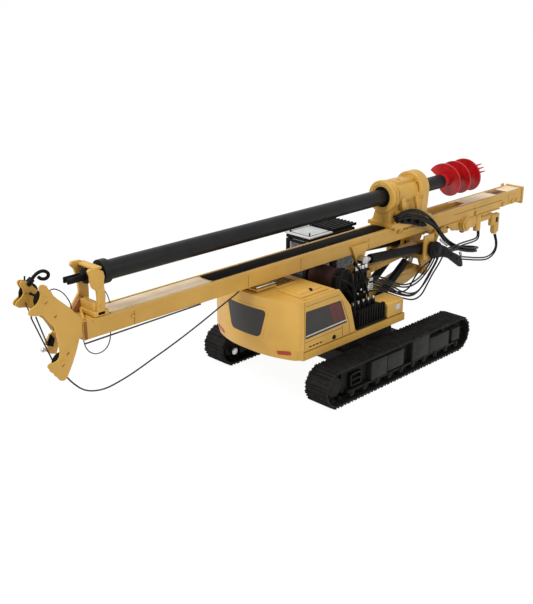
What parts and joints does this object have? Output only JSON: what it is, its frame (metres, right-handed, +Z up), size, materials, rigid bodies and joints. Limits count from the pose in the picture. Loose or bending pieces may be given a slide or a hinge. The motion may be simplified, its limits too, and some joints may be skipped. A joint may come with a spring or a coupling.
{
  "type": "rotary piling rig scale model",
  "caption": "Scale model of a tracked rotary piling rig, its mast folded flat, with slewing body, cab, boom linkage, rotary drive, kelly bar, short auger and winches.",
  "frame": {"origin": "middle of the rig's box, loose lines left out, on the floor under the tracks", "axes": "+X along the folded mast towards its foot and the auger, +Y towards the cab side, +Z up"},
  "size_m": [0.3024, 0.073, 0.0781],
  "materials": {
    "yellow_paint": "semi-gloss enamel",
    "black_paint": "satin black",
    "dark_grey_paint": "satin",
    "track_black": "matt moulded links",
    "light_grey": "matt",
    "red_paint": "semi-gloss enamel",
    "bright_metal": "polished",
    "window_glass": "clear tinted",
    "winch_rope": "wound thread",
    "hose_rubber": "matt",
    "seat_plastic": "matt"
  },
  "bodies": {
    "undercarriage": {"car_body": "dark_grey_paint", "swing_ring": "dark_grey_paint", "track_left": "track_black", "track_right": "track_black", "track_frame_left": "dark_grey_paint", "track_frame_right": "dark_grey_paint", "drive_sprocket_left": "dark_grey_paint", "drive_sprocket_right": "dark_grey_paint", "idler_wheel_left": "dark_grey_paint", "idler_wheel_right": "dark_grey_paint"},
    "upper_carriage": {"main_deck": "yellow_paint", "counterweight": "yellow_paint", "engine_hood": "yellow_paint", "side_panel_left": "yellow_paint", "side_panel_right": "yellow_paint", "mast_rest": "yellow_paint", "tool_box": "yellow_paint", "valve_box": "black_paint", "hose_column": "black_paint", "main_winch_frame": "black_paint", "cab_shell": "black_paint", "cab_glazing": "window_glass", "cab_roof": "black_paint", "roof_hatch": "light_grey", "roof_guard": "black_paint", "operator_seat": "seat_plastic", "control_console": "seat_plastic", "base_hoses": "hose_rubber"},
    "main_winch": {"main_winch_drum": "winch_rope"},
    "upper_boom_arm": {"upper_arm": "yellow_paint"},
    "lower_boom_arm": {"lower_arm": "yellow_paint"},
    "boom_cylinder_barrels": {"boom_cylinder_barrel_left": "black_paint", "boom_cylinder_barrel_right": "black_paint"},
    "boom_cylinder_rods": {"boom_cylinder_rod_left": "bright_metal", "boom_cylinder_rod_right": "bright_metal"},
    "mast_cradle": {"cradle": "yellow_paint", "hose_disc": "black_paint"},
    "mast_cylinder_barrels": {"mast_cylinder_barrel_left": "black_paint", "mast_cylinder_barrel_right": "black_paint"},
    "mast_cylinder_rods": {"mast_cylinder_rod_left": "bright_metal", "mast_cylinder_rod_right": "bright_metal"},
    "leader_mast": {"mast": "yellow_paint", "mast_foot": "yellow_paint", "cathead": "yellow_paint", "kelly_support": "yellow_paint", "crowd_cylinder_barrel": "black_paint", "aux_winch_frame": "yellow_paint", "hoist_rope": "winch_rope", "feed_hoses": "hose_rubber", "aux_hose_long": "hose_rubber", "aux_hose_short": "hose_rubber"},
    "upper_sheave": {"cathead_sheave_upper": "black_paint"},
    "lower_sheave": {"cathead_sheave_lower": "black_paint"},
    "aux_winch": {"aux_winch_drum": "winch_rope"},
    "rotary_drive": {"rotary_head": "yellow_paint", "crowd_cylinder_rod": "bright_metal"},
    "kelly_bar": {"kelly_outer": "black_paint", "kelly_swivel": "black_paint"},
    "drill_tool": {"kelly_inner": "dark_grey_paint", "auger": "red_paint"}
  },
  "joints": [
    {"name": "swing", "type": "hinge", "parent": "undercarriage", "child": "upper_carriage", "pos_m": [0.0084, 0, 0.0199], "axis": [0, 0, 1], "continuous": true},
    {"name": "main_winch_turn", "type": "hinge", "parent": "upper_carriage", "child": "main_winch", "pos_m": [-0.0026, 0, 0.04], "axis": [0, 1, 0], "continuous": true},
    {"name": "boom_luff", "type": "hinge", "parent": "upper_carriage", "child": "upper_boom_arm", "pos_m": [0.0204, 0, 0.0366], "axis": [0, -1, 0], "range_deg": [0, 60], "deforming": ["base_hoses"]},
    {"name": "lower_arm_luff", "type": "hinge", "parent": "upper_carriage", "child": "lower_boom_arm", "pos_m": [0.0209, 0, 0.0245], "axis": [0, -1, 0], "range_deg": [0, 60]},
    {"name": "cradle_level", "type": "hinge", "parent": "upper_boom_arm", "child": "mast_cradle", "pos_m": [0.0634, 0, 0.0409], "axis": [0, 1, 0], "range_deg": [0, 60]},
    {"name": "boom_cylinder_turn", "type": "hinge", "parent": "upper_carriage", "child": "boom_cylinder_barrels", "pos_m": [0.0274, 0, 0.0216], "axis": [0, -1, 0], "range_deg": [0, 45.91]},
    {"name": "boom_cylinder_stroke", "type": "slide", "parent": "boom_cylinder_barrels", "child": "boom_cylinder_rods", "axis": [0.8215, 0, 0.5703], "range_m": [0, 0.01403]},
    {"name": "mast_raise", "type": "hinge", "parent": "mast_cradle", "child": "leader_mast", "pos_m": [0.0724, 0, 0.0455], "axis": [0, 1, 0], "range_deg": [0, 90], "deforming": ["feed_hoses", "aux_hose_long", "aux_hose_short"]},
    {"name": "mast_cylinder_turn", "type": "hinge", "parent": "mast_cradle", "child": "mast_cylinder_barrels", "pos_m": [0.0599, 0, 0.0421], "axis": [0, 1, 0], "range_deg": [0, 97.06]},
    {"name": "mast_cylinder_stroke", "type": "slide", "parent": "mast_cylinder_barrels", "child": "mast_cylinder_rods", "axis": [-0.9968, 0, 0.0797], "range_m": [0, 0.01706]},
    {"name": "rotary_feed", "type": "slide", "parent": "leader_mast", "child": "rotary_drive", "axis": [1, 0, 0], "range_m": [0, 0.055]},
    {"name": "kelly_spin", "type": "hinge", "parent": "rotary_drive", "child": "kelly_bar", "pos_m": [0.0344, 0, 0.0693], "axis": [1, 0, 0], "continuous": true},
    {"name": "kelly_extend", "type": "slide", "parent": "kelly_bar", "child": "drill_tool", "axis": [1, 0, 0], "range_m": [0, 0.08]},
    {"name": "aux_winch_turn", "type": "hinge", "parent": "leader_mast", "child": "aux_winch", "pos_m": [0.0984, 0, 0.0436], "axis": [0, 1, 0], "continuous": true},
    {"name": "upper_sheave_turn", "type": "hinge", "parent": "leader_mast", "child": "upper_sheave", "pos_m": [-0.1446, 0, 0.067], "axis": [0, 1, 0], "continuous": true},
    {"name": "lower_sheave_turn", "type": "hinge", "parent": "leader_mast", "child": "lower_sheave", "pos_m": [-0.1399, 0, 0.0435], "axis": [0, 1, 0], "continuous": true}
  ],
  "couplings": [
    {"joint": "lower_arm_luff", "follows": "boom_luff", "ratio": 1},
    {"joint": "cradle_level", "follows": "boom_luff", "ratio": 1},
    {"joint": "boom_cylinder_turn", "follows": "boom_luff", "ratio": 0.76524},
    {"joint": "boom_cylinder_stroke", "follows": "boom_luff", "m_per_rad": 0.013401},
    {"joint": "mast_cylinder_turn", "follows": "mast_raise", "ratio": 1.0784},
    {"joint": "mast_cylinder_stroke", "follows": "mast_raise", "m_per_rad": 0.010858}
  ]
}
